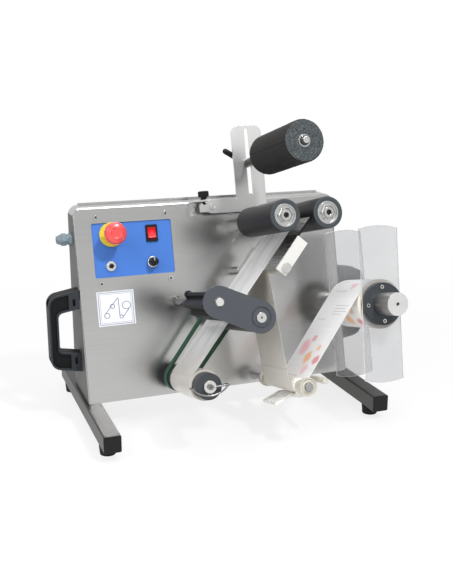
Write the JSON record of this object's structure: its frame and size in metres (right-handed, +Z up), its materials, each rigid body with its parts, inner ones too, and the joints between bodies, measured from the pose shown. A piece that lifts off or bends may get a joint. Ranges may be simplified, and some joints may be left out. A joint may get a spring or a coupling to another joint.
{
  "type": "bottle labelling machine",
  "caption": "Tabletop machine that peels labels off a strip and rolls them onto a bottle: leaning steel panel with drive and press rollers, label path, controls, handles and skids.",
  "frame": {"origin": "on the floor, under the middle of the machine's outline", "axes": "+X to the machine's right as seen from the front, +Y to the back, +Z up"},
  "size_m": [0.626, 0.4682, 0.5487],
  "materials": {
    "stainless_sheet": "stainless sheet with a fine horizontal brush",
    "stainless_tube": "stainless square tube with a lengthwise brush",
    "black_plastic": "moulded black plastic with a light grain",
    "foot_rubber": "matt black rubber",
    "bright_steel": "turned or plated steel",
    "gland_grey": "grey nylon",
    "blue_panel": "satin blue control plate",
    "stop_yellow": "yellow plastic collar",
    "stop_grey": "grey plastic stem",
    "stop_red": "glossy red plastic",
    "rocker_red": "glossy red translucent plastic",
    "socket_nickel": "nickel-plated collar",
    "board_green": "green circuit board",
    "aluminium": "turned aluminium",
    "roller_rubber": "ground black rubber",
    "press_foam": "soft dark foam rubber",
    "belt_black": "black toothed belt",
    "belt_green": "green flat belt",
    "motor_grey": "dark grey paint",
    "grey_anodised": "dark grey anodised, finely speckled",
    "black_anodised": "black anodised",
    "liner_paper": "glossy backing paper",
    "label_paper": "printed label paper on its backing",
    "white_steel": "bright satin steel",
    "cream_nylon": "cream nylon",
    "clear_acrylic": "clear acrylic sheet"
  },
  "bodies": {
    "machine": {"front_panel": "stainless_sheet", "rear_cover": "stainless_sheet", "arm_bracket": "stainless_sheet", "left_skid": "stainless_tube", "right_skid": "stainless_tube", "skid_end_caps": "black_plastic", "left_handle": "black_plastic", "right_handle": "black_plastic", "rocker_bezel": "black_plastic", "feet": "foot_rubber", "panel_screws": "bright_steel", "frame_bolts": "bright_steel", "press_pivot_bolt": "bright_steel", "support_post": "bright_steel", "rewind_shaft": "bright_steel", "rewind_bail": "bright_steel", "peel_shaft": "bright_steel", "guide_shaft": "bright_steel", "unwind_shaft": "bright_steel", "cable_gland": "gland_grey", "control_plate": "blue_panel", "estop_base": "stop_yellow", "jack_socket": "socket_nickel", "control_board": "board_green", "roller_housings": "aluminium", "timing_belt": "belt_black", "rewind_belt": "belt_green", "gearmotor": "motor_grey", "bearing_plate": "grey_anodised", "label_web": "label_paper", "peel_blade": "white_steel", "peel_side_plates": "white_steel", "peel_guide_rod": "cream_nylon", "guide_collars": "cream_nylon", "strip_fingers": "cream_nylon", "strip_rod": "cream_nylon"},
    "press_arm": {"press_arm": "stainless_sheet"},
    "arm_adjuster": {"arm_adjuster": "black_plastic"},
    "press_axle": {"press_axle": "bright_steel"},
    "clamp_lever": {"clamp_lever": "black_anodised"},
    "press_roller": {"press_roller_core": "bright_steel", "press_roller_foam": "press_foam"},
    "left_roller": {"left_roller_core": "aluminium", "left_roller_sleeve": "roller_rubber"},
    "right_roller": {"right_roller_core": "aluminium", "right_roller_sleeve": "roller_rubber"},
    "traction_roller": {"traction_shaft": "bright_steel", "traction_sleeve": "roller_rubber"},
    "pinch_lever": {"pinch_lever": "black_anodised"},
    "pinch_roller": {"pinch_roller": "roller_rubber"},
    "rewind": {"rewind_roller": "black_anodised", "rewind_liner": "liner_paper"},
    "guide_roller": {"guide_roller": "cream_nylon"},
    "unwind": {"unwind_hub": "black_plastic", "label_roll": "label_paper", "roll_plates": "clear_acrylic"},
    "estop_stem": {"estop_stem": "stop_grey"},
    "estop_button": {"estop_button": "stop_red"},
    "rocker_key": {"rocker_key": "rocker_red"},
    "speed_knob": {"speed_knob": "black_plastic"}
  },
  "joints": [
    {"name": "press_arm_lift", "type": "hinge", "parent": "machine", "child": "press_arm", "pos_m": [-0.0015, 0.05673, 0.37898], "axis": [0, -0.9694, 0.2453], "range_deg": [0, 30]},
    {"name": "adjuster_turn", "type": "hinge", "parent": "machine", "child": "arm_adjuster", "pos_m": [-0.017, 0.05779, 0.38315], "axis": [0, 0.2453, 0.9694], "range_deg": [-180, 180]},
    {"name": "press_height", "type": "slide", "parent": "press_arm", "child": "press_axle", "axis": [0, 0.2453, 0.9694], "range_m": [-0.055, 0.058]},
    {"name": "clamp_turn", "type": "hinge", "parent": "press_axle", "child": "clamp_lever", "pos_m": [0.077, 0.08689, 0.45129], "axis": [0, -0.9694, 0.2453], "range_deg": [-40, 50]},
    {"name": "press_spin", "type": "hinge", "parent": "press_axle", "child": "press_roller", "pos_m": [0.077, -0.08664, 0.4952], "axis": [0, -0.9694, 0.2453], "continuous": true},
    {"name": "traction_spin", "type": "hinge", "parent": "machine", "child": "traction_roller", "pos_m": [-0.01161, -0.11682, 0.21696], "axis": [0, -0.9694, 0.2453], "continuous": true},
    {"name": "left_roller_spin", "type": "hinge", "parent": "machine", "child": "left_roller", "pos_m": [0.043, -0.09668, 0.37808], "axis": [0, -0.9694, 0.2453], "continuous": true},
    {"name": "right_roller_spin", "type": "hinge", "parent": "machine", "child": "right_roller", "pos_m": [0.12, -0.09668, 0.37808], "axis": [0, -0.9694, 0.2453], "continuous": true},
    {"name": "rewind_spin", "type": "hinge", "parent": "machine", "child": "rewind", "pos_m": [-0.10032, -0.12284, 0.11161], "axis": [0, -0.9694, 0.2453], "continuous": true},
    {"name": "pinch_open", "type": "hinge", "parent": "machine", "child": "pinch_lever", "pos_m": [-0.0805, -0.1091, 0.24744], "axis": [0, -0.9694, 0.2453], "range_deg": [0, 25], "stiffness_Nm_per_rad": 0.3, "springref_deg": -28.65},
    {"name": "pinch_spin", "type": "hinge", "parent": "pinch_lever", "child": "pinch_roller", "pos_m": [-0.04038, -0.11072, 0.24103], "axis": [0, -0.9694, 0.2453], "continuous": true},
    {"name": "guide_spin", "type": "hinge", "parent": "machine", "child": "guide_roller", "pos_m": [0.064, -0.11606, 0.08952], "axis": [0, -0.9694, 0.2453], "continuous": true},
    {"name": "unwind_spin", "type": "hinge", "parent": "machine", "child": "unwind", "pos_m": [0.2365, -0.09987, 0.21055], "axis": [0, -0.9694, 0.2453], "continuous": true},
    {"name": "estop_push", "type": "slide", "parent": "machine", "child": "estop_stem", "axis": [0, 0.9694, -0.2453], "range_m": [0, 0.005], "stiffness_N_per_m": 1500, "springref_m": -0.002},
    {"name": "estop_twist", "type": "hinge", "parent": "estop_stem", "child": "estop_button", "pos_m": [-0.19, 0.04886, 0.34177], "axis": [0, -0.9694, 0.2453], "range_deg": [0, 45], "stiffness_Nm_per_rad": 0.08, "springref_deg": -5.73},
    {"name": "rocker_tilt", "type": "hinge", "parent": "machine", "child": "rocker_key", "pos_m": [-0.1154, 0.0697, 0.33443], "axis": [1, 0, 0], "range_deg": [0, 16]},
    {"name": "speed_turn", "type": "hinge", "parent": "machine", "child": "speed_knob", "pos_m": [-0.1181, 0.04713, 0.28599], "axis": [0, -0.9694, 0.2453], "range_deg": [-150, 150]}
  ],
  "couplings": [
    {"joint": "left_roller_spin", "follows": "traction_spin", "ratio": 1},
    {"joint": "right_roller_spin", "follows": "traction_spin", "ratio": 1},
    {"joint": "rewind_spin", "follows": "traction_spin", "ratio": 1.1333},
    {"joint": "pinch_spin", "follows": "traction_spin", "ratio": -2.0833},
    {"joint": "guide_spin", "follows": "traction_spin", "ratio": -2},
    {"joint": "unwind_spin", "follows": "traction_spin", "ratio": 0.56818}
  ]
}
